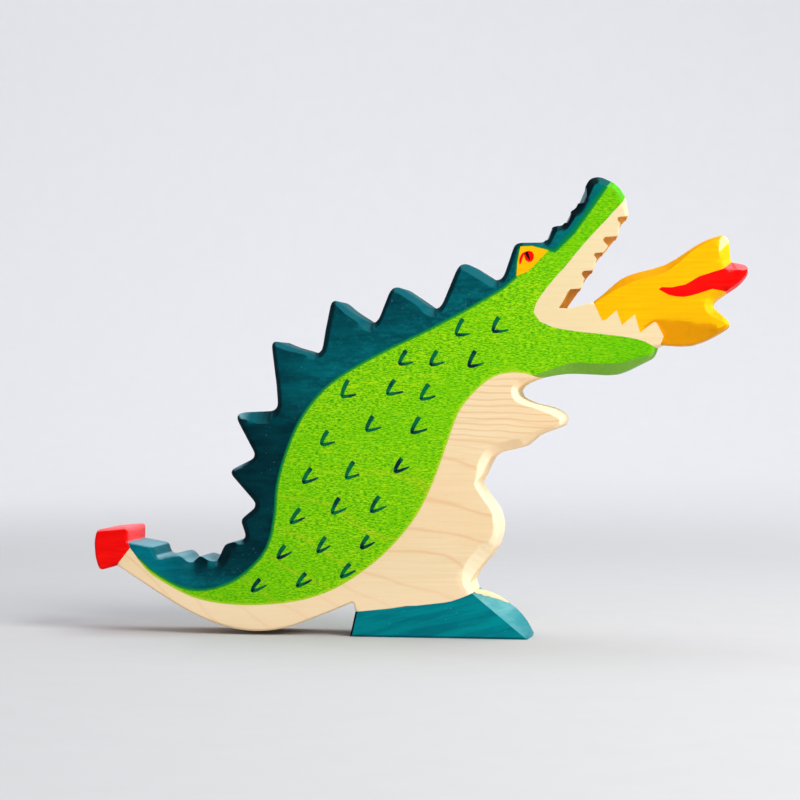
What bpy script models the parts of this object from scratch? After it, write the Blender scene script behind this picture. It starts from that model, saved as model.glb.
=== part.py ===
"""A carved and painted toy dragon, cut from one flat maple board.

The figure stands on a long foot and faces +X.  The board lies in the XZ plane and is centred on Y = 0,
and the origin is the middle of the sole.  Each painted zone of the board is its own solid, with a small
clearance along every paint line, so that the zones can be finished one by one and put back together.
All dimensions below are in millimetres; MM turns them into Blender's metres.
"""

import math

import bmesh
import bpy
from mathutils import Vector

MM = 0.001

# ---- driving dimensions -------------------------------------------------------------------------------
BOARD_THICKNESS = 25.0
HALF = BOARD_THICKNESS / 2
CLEARANCE = 0.3        # between two zones that share a paint line
EDGE_CHAMFER = 0.8     # knife chamfer along the sawn outline, on both faces
CURVE_STEP = 3.5       # spacing of the points along a smooth line
ARC_STEP = math.radians(26)
EYE_DEPTH = 1.2        # the eye patches are thin inlays
TOE_WEDGE_HALF_WIDTH = 6.0
TOE_WEDGE_FLOOR = 6.0
RIDGE_HALF_WIDTH = 0.6  # wood left between a carved chip on the near face and its twin on the far face

# ---- corners where two zones meet on the outline -------------------------------------------------------
TAIL_TOP = (-116.9, 34.0)
TAIL_MIDDLE = (-115.9, 31.6)
TAIL_BOTTOM = (-121.0, 25.1)
BODY_POINT = (-113.9, 29.0)
SNOUT_TOP = (62.2, 165.2)
SNOUT_FRONT = (66.1, 159.0)
JAW_TIP = (78.1, 105.5)
FLAME_BOTTOM = (79.9, 106.6)
FLAME_TOP = (56.0, 121.8)
STREAK_TOP = (105.1, 135.7)
STREAK_BOTTOM = (103.1, 125.3)
THROAT = (36.1, 94.8)
HEEL = (-30.9, 9.3)
ANKLE = (12.0, 16.6)

# ---- outline of the board: (x, z, corner radius) --------------------------------------------------------
CREST_CORNERS = [
    TAIL_TOP,
    (-107.4, 32.2, 1.2), (-105.9, 27.7, 1.8), (-97.7, 29.7, 1.8), (-93.7, 25.5, 2.2), (-89.9, 29.0, 1.6),
    (-83.6, 26.2, 2.2), (-80.4, 33.2, 1.3), (-71.9, 35.4, 1.6), (-74.3, 42.3, 1.6), (-67.8, 47.6, 2.2),
    (-79.0, 60.2, 2.0), (-68.2, 65.5, 2.2), (-77.0, 81.8, 2.6), (-60.1, 82.6, 3.0), (-60.9, 93.0, 30.0),
    (-62.9, 109.2, 2.8), (-56.2, 106.3, 20.0), (-44.0, 102.8, 3.2), (-42.4, 112.5, 30.0), (-39.9, 124.7, 3.4),
    (-33.2, 119.1, 20.0), (-23.6, 113.2, 3.6), (-17.1, 129.5, 3.6), (-0.4, 118.2, 3.6), (7.8, 137.8, 4.0),
    (22.5, 128.5, 3.4), (27.6, 143.5, 2.6), (38.2, 143.5, 1.4), (40.9, 149.2, 1.3), (44.9, 149.6, 1.4),
    (47.8, 154.9, 1.3), (49.5, 155.8, 1.4), (54.3, 166.5, 3.2), (58.2, 167.2, 4.0), SNOUT_TOP,
]
SNOUT_END_CORNERS = [SNOUT_TOP, (64.8, 163.8, 3.0), SNOUT_FRONT]
MOUTH_CORNERS = [
    SNOUT_FRONT,
    (67.2, 152.4), (63.9, 148.5), (63.7, 145.6), (55.8, 136.5), (54.7, 133.2), (51.1, 129.0), (50.5, 127.0),
    (44.5, 118.9, 1.0), FLAME_TOP,
]
FLAME_TOP_CORNERS = [
    FLAME_TOP,
    (60.2, 125.2, 20.0), (65.9, 130.5, 25.0), (72.0, 132.5, 30.0), (82.0, 134.8, 30.0), (95.2, 143.6, 25.0),
    (104.1, 146.2, 3.4), (104.5, 137.4, 4.0), STREAK_TOP,
]
STREAK_END_CORNERS = [STREAK_TOP, (112.1, 134.4, 2.4), (108.6, 129.0, 12.0), STREAK_BOTTOM]
FLAME_LOWER_CORNERS = [
    STREAK_BOTTOM,
    (97.2, 121.0, 2.0), (105.3, 113.6, 1.6), (98.6, 109.4, 30.0), (90.5, 105.8, 20.0), FLAME_BOTTOM,
]
JAW_UNDERSIDE_CORNERS = [JAW_TIP, (77.0, 102.0, 3.0), (63.8, 95.4, 14.0), (44.8, 96.4, 60.0), THROAT]
CHEST_CURVE = [
    THROAT, (30.4, 92.5), (28.1, 90.3), (29.0, 87.6), (33.0, 85.6), (41.7, 83.4), (44.9, 81.4), (45.5, 79.6),
    (44.6, 77.3), (35.5, 73.7), (30.5, 69.6), (23.8, 68.0), (18.9, 66.0), (15.3, 59.0), (13.4, 56.1),
    (15.2, 52.7), (20.5, 45.6), (21.6, 41.0), (20.2, 33.1), (13.0, 23.6), (10.9, 20.1), ANKLE,
]
FOOT_FRONT_CURVE = [ANKLE, (18.0, 15.5), (24.2, 12.3), (29.2, 8.0), (32.4, 3.2), (33.0, 0.0)]
FOOT_BASE_CORNERS = [(33.0, 0.0), (-33.0, 0.0), HEEL]
NOTCH_TOP = (-31.6, 12.7)
UNDERSIDE_CURVE = [
    NOTCH_TOP, (-40.1, 9.1), (-47.6, 6.1), (-56.2, 3.0), (-65.2, 1.5), (-74.2, 1.8), (-82.9, 3.8), (-92.0, 7.5),
    (-101.0, 12.4), (-110.3, 18.2), TAIL_BOTTOM,
]
TAIL_TIP_CORNERS = [
    TAIL_BOTTOM, (-125.2, 23.7, 3.0), (-127.9, 23.0, 1.6), (-129.4, 27.6, 8.0), (-129.9, 33.5, 10.0),
    (-129.0, 38.3, 1.8), (-116.6, 39.5, 1.2), TAIL_TOP,
]

# ---- paint lines ---------------------------------------------------------------------------------------
BACK_CURVE = [
    BODY_POINT, (-110.6, 25.7), (-104.5, 21.4), (-96.6, 17.4), (-90.5, 16.3), (-83.9, 17.0), (-74.6, 21.0),
    (-66.2, 28.7), (-62.7, 35.5), (-60.9, 45.0), (-60.1, 54.7), (-57.2, 65.8), (-52.2, 77.8), (-45.3, 87.6),
    (-36.8, 95.0), (-22.0, 103.4), (-5.1, 111.5), (8.9, 118.7), (23.6, 127.2), (27.3, 130.3),
]
BROW_CORNERS = [(27.3, 130.3), (28.1, 131.1), (28.5, 136.4), (29.6, 142.2), (34.0, 142.3), (40.2, 140.7)]
SNOUT_LINE = [(40.2, 140.7), (42.2, 140.1), (49.0, 146.7), SNOUT_TOP]
MOUTH_CURVE = [
    SNOUT_FRONT, (65.5, 157.4), (61.0, 151.8), (54.0, 144.3), (45.6, 134.6), (39.0, 126.8), (35.3, 121.4),
    (34.5, 118.2), (36.6, 115.0), (41.3, 112.9), (49.3, 111.4), (59.0, 110.3), (68.3, 109.1), (74.6, 107.5),
    JAW_TIP,
]
BELLY_CURVE = [
    THROAT, (31.4, 96.2), (26.9, 96.6), (22.4, 95.9), (17.1, 93.2), (11.2, 87.6), (7.0, 81.6), (3.4, 72.0),
    (0.2, 62.8), (-4.6, 51.2), (-10.4, 41.4), (-20.6, 30.0), (-32.8, 20.7), (-43.0, 15.5), (-54.3, 12.4),
    (-68.2, 11.0), (-81.0, 11.4), (-92.2, 13.7), (-103.5, 19.2), (-109.8, 23.6), BODY_POINT,
]
LOWER_TEETH_CORNERS = [
    FLAME_TOP, (59.2, 115.1), (60.6, 115.5), (64.3, 118.8), (66.3, 113.5), (70.9, 117.3), (72.7, 110.8),
    (78.3, 115.0, 1.2), (81.1, 109.4, 1.0), FLAME_BOTTOM,
]
STREAK_CURVE = [
    (102.3, 133.4), (98.0, 132.1), (93.6, 130.7), (88.9, 127.9), (84.0, 126.9), (80.4, 127.0), (79.3, 126.2),
    (82.9, 124.2), (88.2, 123.4), (93.4, 124.6), (98.4, 126.2), STREAK_BOTTOM,
]
FOOT_CURVE = [HEEL, (-19.0, 10.6), (-5.0, 12.3), (4.6, 13.7), ANKLE]
EYE_LOWER_CURVE = [(40.2, 140.7), (36.3, 136.6), (32.4, 132.8), (28.1, 131.1)]

# ---- carved chips: two points on the face, then two on the sawn edge between the faces ------------------
TOOTH_CHIPS = [
    [(64.3, 152.0), (65.0, 148.0), (66.9, 152.0), (63.8, 148.4)],
    [(59.5, 144.9), (60.7, 140.3), (63.0, 144.9), (59.0, 140.3)],
    [(55.7, 139.1), (56.6, 135.9), (58.0, 139.1), (55.5, 135.9)],
    [(51.6, 132.7), (52.0, 128.6), (54.2, 132.7), (50.9, 128.6)],
    [(46.9, 126.2), (43.5, 119.7), (49.8, 126.2), (44.9, 119.7)],
]
SNOUT_CHIPS = [
    [(40.0, 144.6), (41.4, 148.4), (38.7, 144.6), (40.2, 148.4)],
    [(47.0, 150.6), (48.3, 154.0), (45.4, 150.6), (47.1, 154.0)],
    [(53.3, 157.6), (53.8, 163.2), (50.0, 157.6), (52.2, 163.2)],
]
WALL_INSETS = {"edge": 0.0, "saw": 0.0, "seam": CLEARANCE / 2}
FACE_INSETS = {"edge": EDGE_CHAMFER, "saw": 0.0, "seam": CLEARANCE / 2}
CHIP_REACH = 3.0       # how far a chip's cutter reaches past the wood
SNOUT_RIDGE_HALF_WIDTH = 4.0
TOE_FACET_END = (32.2, 0.0)                    # the toe's facet leaves the side face from the ankle to here
WEDGE_LENGTH = 12.5                            # the bare wedge between the toes, along X from the ankle

# ---- finishes: sRGB colour, roughness, metallic --------------------------------------------------------
LIME_STAIN = ((0.47, 0.82, 0.05), 0.55, 0.0)
TEAL_STAIN = ((0.00, 0.33, 0.37), 0.50, 0.0)
BARE_MAPLE = ((0.96, 0.87, 0.70), 0.60, 0.0)
YELLOW_STAIN = ((0.98, 0.80, 0.02), 0.50, 0.0)
RED_STAIN = ((0.95, 0.06, 0.03), 0.45, 0.0)


def clear_scene():
    """Remove whatever the scene holds."""
    for thing in list(bpy.data.objects):
        bpy.data.objects.remove(thing, do_unlink=True)


def linear(channel):
    """One sRGB channel as a linear value."""
    if channel <= 0.04045:
        return channel / 12.92
    return ((channel + 0.055) / 1.055) ** 2.4


def finish(name, look):
    """A Principled material from an sRGB colour, a roughness and a metallic value."""
    colour, roughness, metallic = look
    material = bpy.data.materials.new(name)
    material.use_nodes = True
    shader = material.node_tree.nodes["Principled BSDF"]
    shader.inputs["Base Color"].default_value = (*[linear(c) for c in colour], 1.0)
    shader.inputs["Roughness"].default_value = roughness
    shader.inputs["Metallic"].default_value = metallic
    return material


# ---- lines in the plane of the board -------------------------------------------------------------------
def rounded(corners):
    """The line through (x, z[, radius]) corners, with an arc of that radius in each corner that has one."""
    line = [Vector(corners[0][:2])]
    for before, corner, after in zip(corners, corners[1:], corners[2:]):
        here = Vector(corner[:2])
        if len(corner) == 2:
            line.append(here)
            continue
        back = (Vector(before[:2]) - here)
        ahead = (Vector(after[:2]) - here)
        turn = math.pi - back.angle(ahead)
        reach = min(corner[2] * math.tan(turn / 2), 0.46 * back.length, 0.46 * ahead.length)
        start = here + back.normalized() * reach
        end = here + ahead.normalized() * reach
        steps = max(2, math.ceil(turn / ARC_STEP))
        for step in range(steps + 1):
            t = step / steps
            line.append(start * (1 - t) ** 2 + here * (2 * t * (1 - t)) + end * t ** 2)
    line.append(Vector(corners[-1][:2]))
    return line


def smooth(points):
    """A Catmull-Rom line through the points, sampled about every CURVE_STEP."""
    spots = [Vector(p) for p in points]
    spots = [spots[0] * 2 - spots[1]] + spots + [spots[-1] * 2 - spots[-2]]
    line = []
    for a, b, c, d in zip(spots, spots[1:], spots[2:], spots[3:]):
        steps = max(1, round((c - b).length / CURVE_STEP))
        for step in range(steps):
            t = step / steps
            line.append(0.5 * (2 * b + (c - a) * t + (2 * a - 5 * b + 4 * c - d) * t ** 2
                               + (3 * b - a - 3 * c + d) * t ** 3))
    line.append(spots[-2])
    return line


def joined(*sections):
    """One closed loop from sections of (kind, line), with the kind of each of its sides."""
    loop = []
    kinds = []
    for kind, line in sections:
        for point in line[:-1]:
            loop.append(Vector(point))
            kinds.append(kind)
    area = sum(p.x * q.y - q.x * p.y for p, q in zip(loop, loop[1:] + loop[:1]))
    if area < 0:
        loop = loop[::-1]
        kinds = kinds[-2::-1] + kinds[-1:]
    return loop, kinds


def inset(loop, kinds, distances):
    """The counter-clockwise loop with each side moved inwards by its kind's distance."""
    count = len(loop)
    moved = []
    for i in range(count):
        into = (loop[i] - loop[i - 1]).normalized()
        out = (loop[(i + 1) % count] - loop[i]).normalized()
        before = distances[kinds[i - 1]]
        after = distances[kinds[i]]
        cross = into.x * out.y - into.y * out.x
        normal_in = Vector((-into.y, into.x))
        normal_out = Vector((-out.y, out.x))
        if abs(cross) < 0.05:
            moved.append(loop[i] + (normal_in + normal_out).normalized() * max(before, after))
            continue
        along = (normal_out * after - normal_in * before)
        slide = (along.x * out.y - along.y * out.x) / cross
        moved.append(loop[i] + normal_in * before + into * slide)
    return moved


# ---- solids --------------------------------------------------------------------------------------------
def add_object(name, mesh, material=None):
    """Link a mesh to the scene as a named object."""
    thing = bpy.data.objects.new(name, mesh)
    bpy.context.collection.objects.link(thing)
    if material:
        mesh.materials.append(material)
    return thing


def solid_from_rings(name, rings, material=None):
    """A closed solid from equal rings of (y, loop), first to last, with flat ends."""
    mesh = bmesh.new()
    layers = []
    for y, loop in rings:
        layers.append([mesh.verts.new((p.x * MM, y * MM, p.y * MM)) for p in loop])
    for lower, upper in zip(layers, layers[1:]):
        for i in range(len(lower)):
            mesh.faces.new((lower[i - 1], lower[i], upper[i], upper[i - 1]))
    mesh.faces.new(layers[0][::-1])
    mesh.faces.new(layers[-1])
    mesh.normal_update()
    bmesh.ops.triangulate(mesh, faces=mesh.faces)
    bmesh.ops.recalc_face_normals(mesh, faces=mesh.faces)
    data = bpy.data.meshes.new(name)
    mesh.to_mesh(data)
    mesh.free()
    return add_object(name, data, material)


def zone(name, material, *sections):
    """A painted zone through the whole board.  Its sides are "edge" along the sawn outline, where both
    faces have a chamfer, "saw" where the sawn edge stays sharp, and "seam" along a paint line.
    """
    loop, kinds = joined(*sections)
    wall = inset(loop, kinds, WALL_INSETS)
    face = inset(loop, kinds, FACE_INSETS)
    shoulder = HALF - EDGE_CHAMFER
    return solid_from_rings(name, [(-HALF, face), (-shoulder, wall), (shoulder, wall), (HALF, face)], material)


def convex(name, points):
    """A convex solid around (x, y, z) points."""
    mesh = bmesh.new()
    for point in points:
        mesh.verts.new(Vector(point) * MM)
    hull = bmesh.ops.convex_hull(mesh, input=mesh.verts)
    inside = set(hull["geom_interior"]) | set(hull["geom_unused"])
    bmesh.ops.delete(mesh, geom=[v for v in inside if isinstance(v, bmesh.types.BMVert)], context="VERTS")
    if mesh.calc_volume(signed=True) < 0:
        bmesh.ops.reverse_faces(mesh, faces=mesh.faces)
    data = bpy.data.meshes.new(name)
    mesh.to_mesh(data)
    mesh.free()
    return add_object(name, data)


def cut(target, cutter):
    """Take the cutter out of the target with a Boolean, and keep the cutter as a wire guide."""
    modifier = target.modifiers.new("cut_" + cutter.name, "BOOLEAN")
    modifier.operation = "DIFFERENCE"
    modifier.solver = "EXACT"
    modifier.object = cutter
    cutter.hide_render = True
    cutter.display_type = "WIRE"


def chip(target, name, corners, outward, ridge):
    """Carve one chip out of both faces.  It starts on the face and runs down to the ridge in the middle.

    The cutter's corners lie past the face, where the slope through the chip's own corners takes them.
    """
    face_a, face_b, edge_a, edge_b = corners
    for side in (-1, 1):
        top = side * (HALF + CHIP_REACH)
        over = CHIP_REACH / (HALF - ridge)
        points = [(*edge_a, side * ridge), (*edge_b, side * ridge)]
        for on_face, on_edge in ((face_a, edge_a), (face_b, edge_b)):
            points.append((on_face[0] + (on_face[0] - on_edge[0]) * over, on_face[1], top))
            points.append((on_edge[0] + outward * CHIP_REACH, on_edge[1], top))
            points.append((on_edge[0] + outward * CHIP_REACH, on_edge[1], side * ridge))
        solid = convex(f"{name}_{'left' if side > 0 else 'right'}", [(x, y, z) for x, z, y in points])
        cut(target, solid)


# ---- the zones -----------------------------------------------------------------------------------------
def build_lines():
    """All lines of the board, by name."""
    back = smooth(BACK_CURVE)
    return {
        "crest": rounded(CREST_CORNERS),
        "snout_end": rounded(SNOUT_END_CORNERS),
        "mouth_edge": rounded(MOUTH_CORNERS),
        "flame_top": rounded(FLAME_TOP_CORNERS),
        "streak_end": rounded(STREAK_END_CORNERS),
        "flame_lower": rounded(FLAME_LOWER_CORNERS),
        "jaw_underside": rounded(JAW_UNDERSIDE_CORNERS),
        "chest": smooth(CHEST_CURVE),
        "foot_front": smooth(FOOT_FRONT_CURVE),
        "foot_base": rounded(FOOT_BASE_CORNERS),
        "underside": [Vector(HEEL)] + smooth(UNDERSIDE_CURVE),
        "tail_tip": rounded(TAIL_TIP_CORNERS),
        "back": back[:-1] + rounded(BROW_CORNERS)[:-1] + rounded(SNOUT_LINE),
        "tail_seam": [Vector(TAIL_MIDDLE), Vector(BODY_POINT)],
        "mouth": smooth(MOUTH_CURVE),
        "belly": smooth(BELLY_CURVE),
        "lower_teeth": rounded(LOWER_TEETH_CORNERS),
        "streak": [Vector(STREAK_TOP)] + smooth(STREAK_CURVE),
        "foot": smooth(FOOT_CURVE),
    }


def build_crest(lines, material):
    """The saw-toothed crest from the tail over the brow to the snout."""
    crest = zone("back_crest", material, ("edge", lines["crest"]), ("seam", lines["back"][::-1]),
                 ("seam", lines["tail_seam"][::-1]), ("seam", [Vector(TAIL_MIDDLE), Vector(TAIL_TOP)]))
    for number, corners in enumerate(SNOUT_CHIPS, 1):
        chip(crest, f"snout_chip_{number}", corners, -1, SNOUT_RIDGE_HALF_WIDTH)


def build_body(lines, material):
    """The green body, from the tail through the torso and neck to both jaws."""
    return zone("body", material, ("seam", lines["back"]), ("edge", lines["snout_end"]),
                ("seam", lines["mouth"]), ("edge", lines["jaw_underside"]), ("seam", lines["belly"]))


def build_eyes(lines, body, material):
    """A thin eye patch in a pocket on each side of the head."""
    brow = rounded(BROW_CORNERS)[1:]
    loop, kinds = joined(("seam", brow), ("pocket", smooth(EYE_LOWER_CURVE)))
    patch = inset(loop, kinds, {"seam": CLEARANCE / 2, "pocket": CLEARANCE / 2})
    pocket = inset(loop, kinds, {"seam": -CHIP_REACH, "pocket": -CLEARANCE / 2})
    for side, word in ((-1, "right"), (1, "left")):
        floor = side * (HALF - EYE_DEPTH)
        solid_from_rings(f"eye_{word}", [(floor, patch), (side * HALF, patch)], material)
        rings = [(floor - side * CLEARANCE, pocket), (side * (HALF + CHIP_REACH), pocket)]
        cut(body, solid_from_rings(f"eye_pocket_{word}", rings))


def build_belly(lines, material):
    """The bare underside of the tail, the belly, the chest with its arm, and the throat."""
    tail_end = [Vector(BODY_POINT), Vector(TAIL_MIDDLE), Vector(TAIL_BOTTOM)]
    zone("belly", material, ("seam", lines["belly"]), ("seam", tail_end), ("edge", lines["underside"][::-1]),
         ("seam", lines["foot"]), ("edge", lines["chest"][::-1]))


def build_mouth(lines, material):
    """The bare wood of both rows of teeth, joined at the corner of the mouth."""
    mouth = zone("teeth", material, ("saw", lines["mouth_edge"]), ("seam", lines["lower_teeth"]),
                 ("edge", [Vector(FLAME_BOTTOM), Vector(JAW_TIP)]), ("seam", lines["mouth"][::-1]))
    for number, corners in enumerate(TOOTH_CHIPS, 1):
        chip(mouth, f"tooth_chip_{number}", corners, 1, RIDGE_HALF_WIDTH)


def build_flame(lines, yellow, red):
    """The flame, and the red tongue of fire that runs through it to its own tip."""
    zone("flame", yellow, ("edge", lines["flame_top"]), ("seam", lines["streak"]),
         ("edge", lines["flame_lower"]), ("seam", lines["lower_teeth"][::-1]))
    zone("flame_tongue", red, ("edge", lines["streak_end"]), ("seam", lines["streak"][::-1]))


def build_tail_tip(lines, material):
    """The block-shaped end of the tail."""
    seam = [Vector(TAIL_TOP), Vector(TAIL_MIDDLE), Vector(TAIL_BOTTOM)]
    zone("tail_tip", material, ("edge", lines["tail_tip"]), ("seam", seam))


def toe_line(ridge, share):
    """The foot's front edge, a given share of the way from the ridge in the middle to the side face."""
    start = ridge[0]
    end = Vector(TOE_FACET_END)
    line = []
    for number, point in enumerate(ridge):
        flat = start.lerp(end, number / (len(ridge) - 1))
        line.append(point.lerp(flat, share))
    return line


def wedge_points(lines, grow, rise):
    """Corners of the wedge between the toes: a triangle in plan, under the top line of the foot."""
    top = [p for p in lines["foot_front"] if p.x < ANKLE[0] + WEDGE_LENGTH]
    points = []
    for p in top:
        width = TOE_WEDGE_HALF_WIDTH * (1 - (p.x - top[0].x) / WEDGE_LENGTH) + grow
        for side in (-1, 1):
            points.append((p.x, side * width, p.y + rise))
            points.append((p.x, side * width, TOE_WEDGE_FLOOR - grow))
    return points


def build_foot(lines, teal, maple):
    """The foot with a facet on each side of its toe, and the bare wedge between the two toes."""
    rings = []
    shoulder = HALF - EDGE_CHAMFER
    for y, insets in ((-HALF, FACE_INSETS), (-shoulder, WALL_INSETS), (0.0, WALL_INSETS),
                      (shoulder, WALL_INSETS), (HALF, FACE_INSETS)):
        toe = toe_line(lines["foot_front"], abs(y) / HALF)
        base = [toe[-1], *lines["foot_base"][1:]]
        loop, kinds = joined(("seam", lines["foot"]), ("saw", toe), ("edge", base))
        rings.append((y, inset(loop, kinds, insets)))
    foot = solid_from_rings("foot", rings, teal)
    cut(foot, convex("wedge_pocket", wedge_points(lines, CLEARANCE, CHIP_REACH)))
    convex("instep", wedge_points(lines, 0.0, 0.0)).data.materials.append(maple)


def main():
    clear_scene()
    lines = build_lines()
    lime = finish("lime_stain", LIME_STAIN)
    teal = finish("teal_stain", TEAL_STAIN)
    maple = finish("bare_maple", BARE_MAPLE)
    yellow = finish("yellow_stain", YELLOW_STAIN)
    red = finish("red_stain", RED_STAIN)
    build_crest(lines, teal)
    body = build_body(lines, lime)
    build_eyes(lines, body, yellow)
    build_belly(lines, maple)
    build_mouth(lines, maple)
    build_flame(lines, yellow, red)
    build_tail_tip(lines, red)
    build_foot(lines, teal, maple)


main()
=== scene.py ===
"""Looks for the carved wooden toy dragon.

Each painted zone of the board is rebuilt from its CAD node: the node's own outline, with the knife's
facets and chips and a fine rounding along the sawn edge worked into the surface.
Lengths in the plane of the board are in millimetres, as (x, z); MM turns them into metres.
"""

import math
import random

import bmesh
import bpy
import numpy as np
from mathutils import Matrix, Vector
from mathutils.bvhtree import BVHTree
from mathutils.geometry import delaunay_2d_cdt


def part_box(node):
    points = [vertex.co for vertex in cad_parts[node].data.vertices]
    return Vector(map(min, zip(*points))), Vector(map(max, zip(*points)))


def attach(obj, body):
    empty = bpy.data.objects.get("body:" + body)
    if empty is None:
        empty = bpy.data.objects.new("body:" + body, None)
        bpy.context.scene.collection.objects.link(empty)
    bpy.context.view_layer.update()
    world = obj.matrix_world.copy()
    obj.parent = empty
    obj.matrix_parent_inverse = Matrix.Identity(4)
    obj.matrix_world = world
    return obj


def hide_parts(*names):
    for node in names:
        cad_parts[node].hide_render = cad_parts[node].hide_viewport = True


MM = 0.001

# ---- mesh detail, in mm ----
NEAR_MIDDLE = 0.01  # depth of the slice that gives a zone's outline
STRAIGHT = 0.004  # a corner nearer than this to its neighbours' chord isn't a corner
REACH = 0.8  # greatest gap between two zones on one paint line
MEETING = 0.2  # the same once the gap is closed
CHUNK = 300  # how many points are measured at once
RIM_STEP = 0.6  # spacing of the points along the sawn edge
SEAM_STEP = 1.2  # and along a paint line
SAW_SMOOTH = 3  # smoothing passes over the sawn edge
GRID_STEP = 2.6  # spacing of the points inside a zone
GRID_ROWS = 0.87  # spacing of their rows, as a share of it
GRID_FROM_LINE = 1.6
GRID_FROM_RING = 1.1
ROUNDING = 0.35  # radius of the sanded edge
RIM_RINGS = (0.06, 0.18, 0.35, 0.65)
SEAM_RINGS = (0.7, 1.6)
CREASE_RINGS = (-0.35, -0.06, 0.06, 0.35)
FIRST_CREASE = 0.8  # no crease ring is nearer to the edge than this
WIDE_CUT = 2.2  # a wider facet has one more ring in its middle
WALL_ROWS = 6
THINNEST = 0.15  # half the least thickness that the knife leaves
CHIP_DEPTHS = (0.1, 1.5, 3.5, 5.5, 7.5, 9.5, 11.0)
CHIP_LEAST = 0.02  # a chip is deeper than this
CHIP_RIM = 0.9  # and near the edge deeper than this, less the distance to it
CLIFF = 0.05  # half the width of the band in which a chip's end wall drops
NUDGE = 0.17  # the outline is probed this far inside itself
EDGE_SHARE = 0.02  # and at least this share of a side away from its corners
VALLEY_SHIFTS = (-0.35, -0.25, -0.15, 0.1)
VALLEY_STEP = 0.4
VALLEY_ROWS = 13
SHARP_ZONE = math.radians(42)
SHARP_SOLID = math.radians(35)
SOLID_ROUNDING = 0.3  # radius of the foot's and the instep's edges
BEVEL_FROM = math.radians(24)
FLAT_WITHIN = math.radians(2)
TOO_SHORT = 0.02


# ---- knife work ----
def cuts(steepness, *spots):
    """Knife cuts as rows of x, z, width on the face and depth per width."""
    return [(x, z, width, steepness) for x, z, width in spots]


LEFT_FLANKS = (
    cuts(0.6, (-93, 27.3, 5.6))
    + cuts(0.7, (-82, 29.5, 4.2))
    + cuts(0.8, (-106.6, 30, 2.2), (-73, 39, 2.2))
    + cuts(0.9, (-75, 55, 2.4), (-75, 75, 2.1), (-62, 100, 2.2), (-62, 88, 2.5), (-43, 110, 2.7),
        (-20, 122, 1.9), (4, 127, 2.2), (25, 135, 2), (41, 148, 2.6), (52, 160, 3.1))
)
RIGHT_FLANKS = (
    cuts(0.9, (-115, 33.7, 0.8), (-102, 28.5, 1), (-86, 28, 1), (-76, 34.5, 1.2))
    + cuts(1.2, (-78, 61, 2.2), (-71, 64, 3.9), (-75, 81, 2.6), (-64, 82.5, 4.6), (-61, 108, 1.8),
        (-49, 104, 1.3), (-45, 103, 2.6), (-39, 124, 1.5), (-30, 117, 1.8), (-25, 114, 3.4),
        (-14, 127, 2.2), (-7, 122.5, 2), (-2, 119.5, 3.2), (12, 135, 2.8), (20, 130.5, 2.8),
        (33, 143.5, 1), (43, 149.4, 1), (56, 167, 2.3), (61, 166, 2.2))
)
ZONE_CUTS = {
    "body": (
        cuts(0.7, (63.5, 164.8, 1.8), (66.1, 159, 1.6))
        + cuts(0.9, (77.5, 105, 0.5), (76, 101.5, 1.2), (70, 98, 2.6), (62, 95.5, 4), (50, 96, 4),
            (42, 96, 2.2), (36, 94.8, 0.8))
    ),
    "belly": (
        cuts(0.8, (31, 93, 1), (28.1, 90.3, 2.6), (29.5, 87, 1.8), (33, 85.6, 1.5), (38, 84.3, 1.6),
            (42, 83.3, 2.7), (45.4, 80, 1.4), (41, 75.9, 0.8), (37, 74.2, 1.2), (34, 72.4, 1.9))
        + cuts(0.75, (31, 70.2, 2.8))
        + cuts(0.7, (26, 68.7, 3.6), (19, 66, 3.3), (16.8, 62, 3.1), (14.5, 58, 0.9), (14.8, 53, 0.4),
            (19, 47.6, 0.6), (21.3, 43, 1.6), (21.3, 38, 1.6))
        + cuts(0.6, (20, 32.5, 2.9))
        + cuts(0.5, (18, 29.5, 5.1), (16, 27, 5.5), (13, 23.6, 5.1))
        + cuts(0.6, (11.2, 20.6, 2.6))
        + cuts(0.7, (11.5, 18, 0.7))
        + cuts(0.8, (-35, 11.5, 0.5), (-56, 3, 0.6), (-74, 1.8, 0.7), (-100, 12, 0.6), (-118, 23, 0.5))
    ),
    "flame": (
        cuts(0.8, (56.5, 122, 0.6), (62, 127, 1.5))
        + cuts(0.7, (66, 130.5, 3), (80, 134.3, 3))
        + cuts(0.8, (85, 136.8, 1.9), (90, 140, 1.1), (98, 144.5, 1), (103, 146, 1))
        + cuts(0.6, (104.3, 143.5, 4.3), (104.4, 139.5, 3.7), (104.8, 136.5, 3.6))
        + cuts(0.8, (102, 124.5, 1.6))
        + cuts(0.6, (98, 121.5, 3.2), (97.4, 120.8, 3.4))
        + cuts(0.8, (103.5, 115, 1.2), (104.5, 113.2, 1.2))
        + cuts(0.6, (101, 110.8, 0.9))
        + cuts(0.4, (96, 108.2, 4.8))
        + cuts(0.33, (92, 106.5, 7.5))
        + cuts(0.28, (88, 106, 9), (82, 106.5, 9.2))
    ),
    "flame_tongue": (
        cuts(0.8, (105.5, 135.5, 2.5), (110.5, 134.6, 2.4), (111.6, 133.6, 1.6), (109, 130, 1.3),
            (104, 126, 1))
    ),
    "teeth": (
        cuts(0.9, (67, 158, 1.1), (67.5, 154, 1.1), (65, 150, 0.1), (58, 140, 0.1), (48, 122, 0.1))
        + cuts(0.8, (79, 106, 0.8))
    ),
    "tail_tip": (
        cuts(0.8, (-122, 24.6, 1), (-128, 23.3, 0.9), (-129.6, 30, 0.8), (-129, 38, 0.8),
            (-122, 39, 1), (-116.8, 37, 0.8))
    ),
}
CUT_BLEND = 4  # how sharply the nearest knife cut wins over the others
CUT_NEAR = 0.05  # added to every distance, so that none is zero
CUT_WAVES = ((1.9, 0.7), (-0.6, 1.3))
CUT_UNEVEN = 0.05  # the knife leaves its facets this far from flat
CUT_EVEN = 30  # smoothing passes over the cuts along the edge
CREST_EVEN = 2
RIGHT_TILT = 0.55  # a crest flank faces right if its outward x + this * z
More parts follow.
